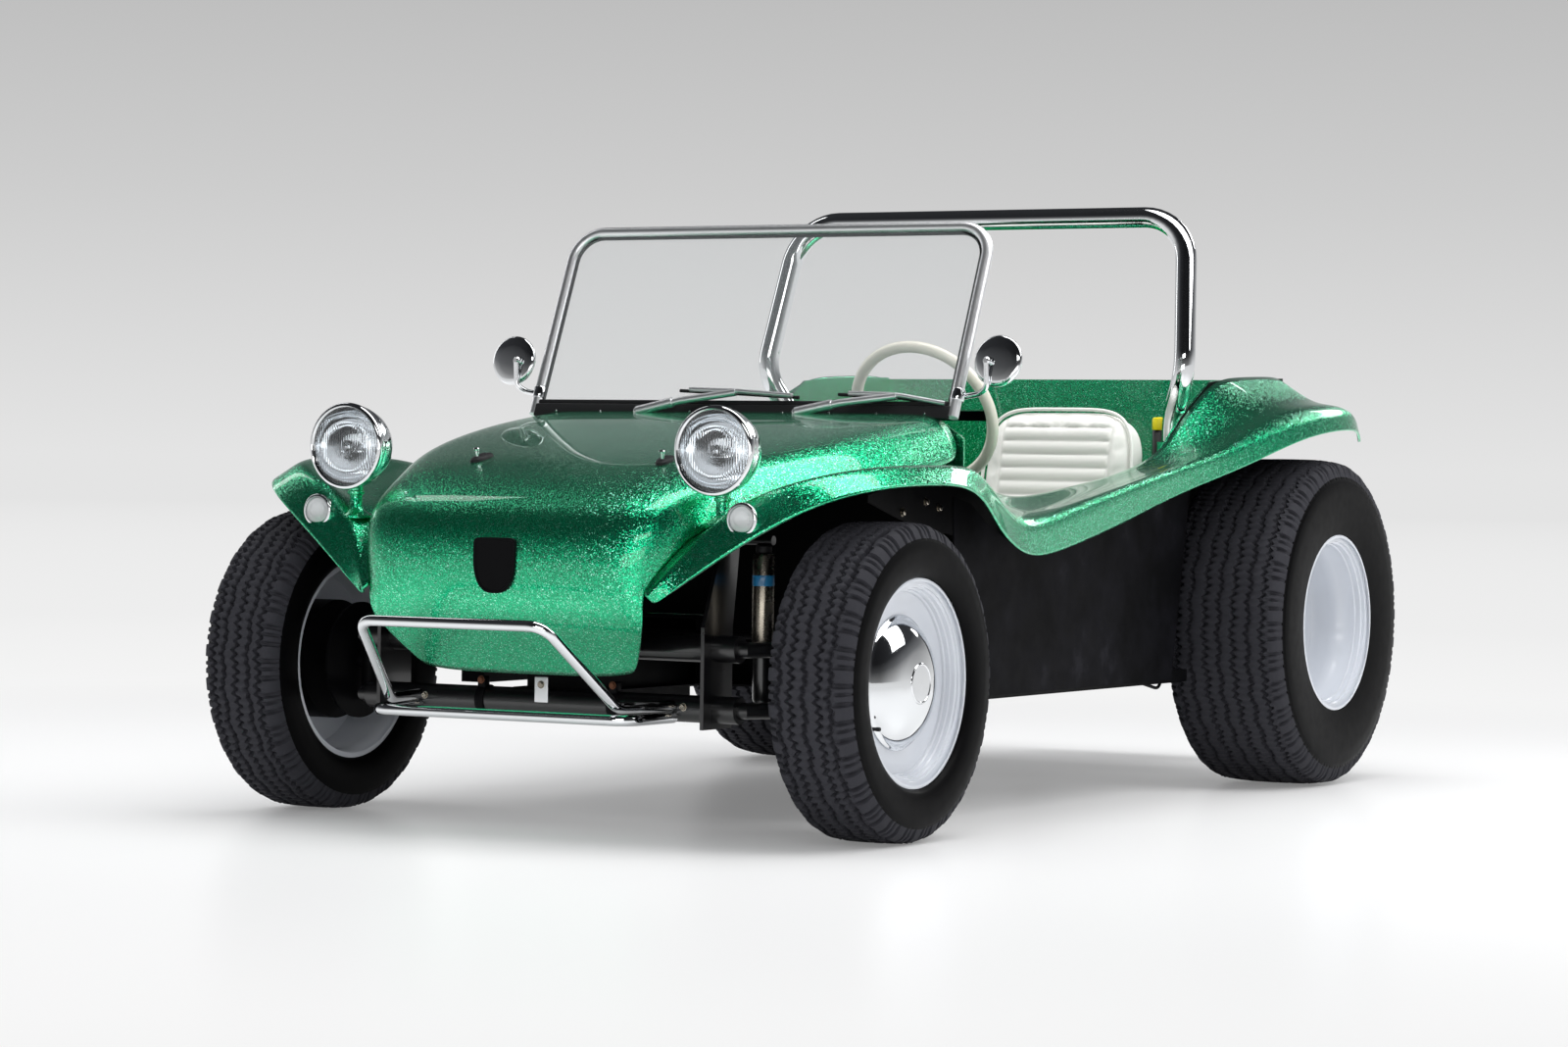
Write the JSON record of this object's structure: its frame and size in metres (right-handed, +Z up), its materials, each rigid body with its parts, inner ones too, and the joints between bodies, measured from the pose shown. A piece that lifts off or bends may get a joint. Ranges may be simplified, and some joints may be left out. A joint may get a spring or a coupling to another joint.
{
  "type": "dune buggy",
  "caption": "Open two-seat dune buggy: metalflake green fibreglass tub and hood, chrome roll hoop, raked windshield, white wheels, wide rear tyres, rear engine.",
  "frame": {"origin": "on the ground under the middle of the overall length and width, wheels straight", "axes": "+X to the vehicle's left, -Y to its front, +Z up"},
  "size_m": [1.61, 3.192, 1.356],
  "materials": {
    "green": "metalflake green gel coat",
    "pan_black": "satin black",
    "chrome": "polished chrome",
    "glass": "clear",
    "lens": "fluted clear",
    "black_trim": "matt black",
    "cream_plastic": "cream",
    "red_lens": "red lens",
    "brushed": "plated steel",
    "white_vinyl": "white vinyl cover",
    "engine_alloy": "cast alloy",
    "tyre": "black rubber",
    "white_rim": "gloss white"
  },
  "bodies": {
    "body": {"controls": "black_trim", "engine": "engine_alloy", "exhaust": "pan_black", "extinguisher": "black_trim", "fan_shroud": "black_trim", "floor_pan": "pan_black", "front_beam": "pan_black", "front_bumper": "chrome", "front_shocks": "brushed", "headlamp_lenses": "lens", "headlamps": "chrome", "hood": "green", "mirrors": "chrome", "rear_axle": "pan_black", "rear_bumper": "chrome", "roll_hoop": "chrome", "seat_left": "white_vinyl", "seat_right": "white_vinyl", "side_panel_left": "pan_black", "side_panel_right": "pan_black", "steering_column": "black_trim", "tail_lamps": "red_lens", "tub": "green", "turn_signals": "lens", "windshield_frame": "chrome", "windshield_glass": "glass", "windshield_strip": "black_trim", "wipers": "black_trim"},
    "knuckle_left": {"knuckle_left": "pan_black"},
    "knuckle_right": {"knuckle_right": "pan_black"},
    "steering": {"steering_wheel": "cream_plastic"},
    "track_rod": {"tie_rod": "pan_black"},
    "wheel_front_left": {"tyre_front_left": "tyre", "rim_front_left": "white_rim", "drum_front_left": "pan_black", "hubcap_front_left": "chrome"},
    "wheel_front_right": {"tyre_front_right": "tyre", "rim_front_right": "white_rim", "drum_front_right": "pan_black", "hubcap_front_right": "chrome"},
    "wheel_rear_left": {"tyre_rear_left": "tyre", "rim_rear_left": "white_rim", "drum_rear_left": "pan_black", "hubcap_rear_left": "chrome"},
    "wheel_rear_right": {"tyre_rear_right": "tyre", "rim_rear_right": "white_rim", "drum_rear_right": "pan_black", "hubcap_rear_right": "chrome"}
  },
  "joints": [
    {"name": "steer_left", "type": "hinge", "parent": "body", "child": "knuckle_left", "pos_m": [0.553, -1.066, 0.316], "axis": [0, 0, 1], "range_deg": [-28, 28]},
    {"name": "steer_right", "type": "hinge", "parent": "body", "child": "knuckle_right", "pos_m": [-0.553, -1.066, 0.316], "axis": [0, 0, 1], "range_deg": [-28, 28]},
    {"name": "track_rod_pivot", "type": "hinge", "parent": "knuckle_left", "child": "track_rod", "pos_m": [0.505, -0.945, 0.392], "axis": [0, 0, 1], "range_deg": [-31, 31]},
    {"name": "steering_wheel_turn", "type": "hinge", "parent": "body", "child": "steering", "pos_m": [0.3, -0.2, 0.855], "axis": [0, 0.8829, 0.4695], "range_deg": [-448, 448]},
    {"name": "spin_front_left", "type": "hinge", "parent": "knuckle_left", "child": "wheel_front_left", "pos_m": [0.672, -1.066, 0.316], "axis": [1, 0, 0], "continuous": true},
    {"name": "spin_front_right", "type": "hinge", "parent": "knuckle_right", "child": "wheel_front_right", "pos_m": [-0.672, -1.066, 0.316], "axis": [1, 0, 0], "continuous": true},
    {"name": "spin_rear_left", "type": "hinge", "parent": "body", "child": "wheel_rear_left", "pos_m": [0.657, 0.966, 0.385], "axis": [1, 0, 0], "continuous": true},
    {"name": "spin_rear_right", "type": "hinge", "parent": "body", "child": "wheel_rear_right", "pos_m": [-0.657, 0.966, 0.385], "axis": [1, 0, 0], "continuous": true}
  ],
  "couplings": [
    {"joint": "steer_right", "follows": "steer_left", "ratio": 1},
    {"joint": "track_rod_pivot", "follows": "steer_left", "ratio": -1.09},
    {"joint": "steering_wheel_turn", "follows": "steer_left", "ratio": 16}
  ]
}
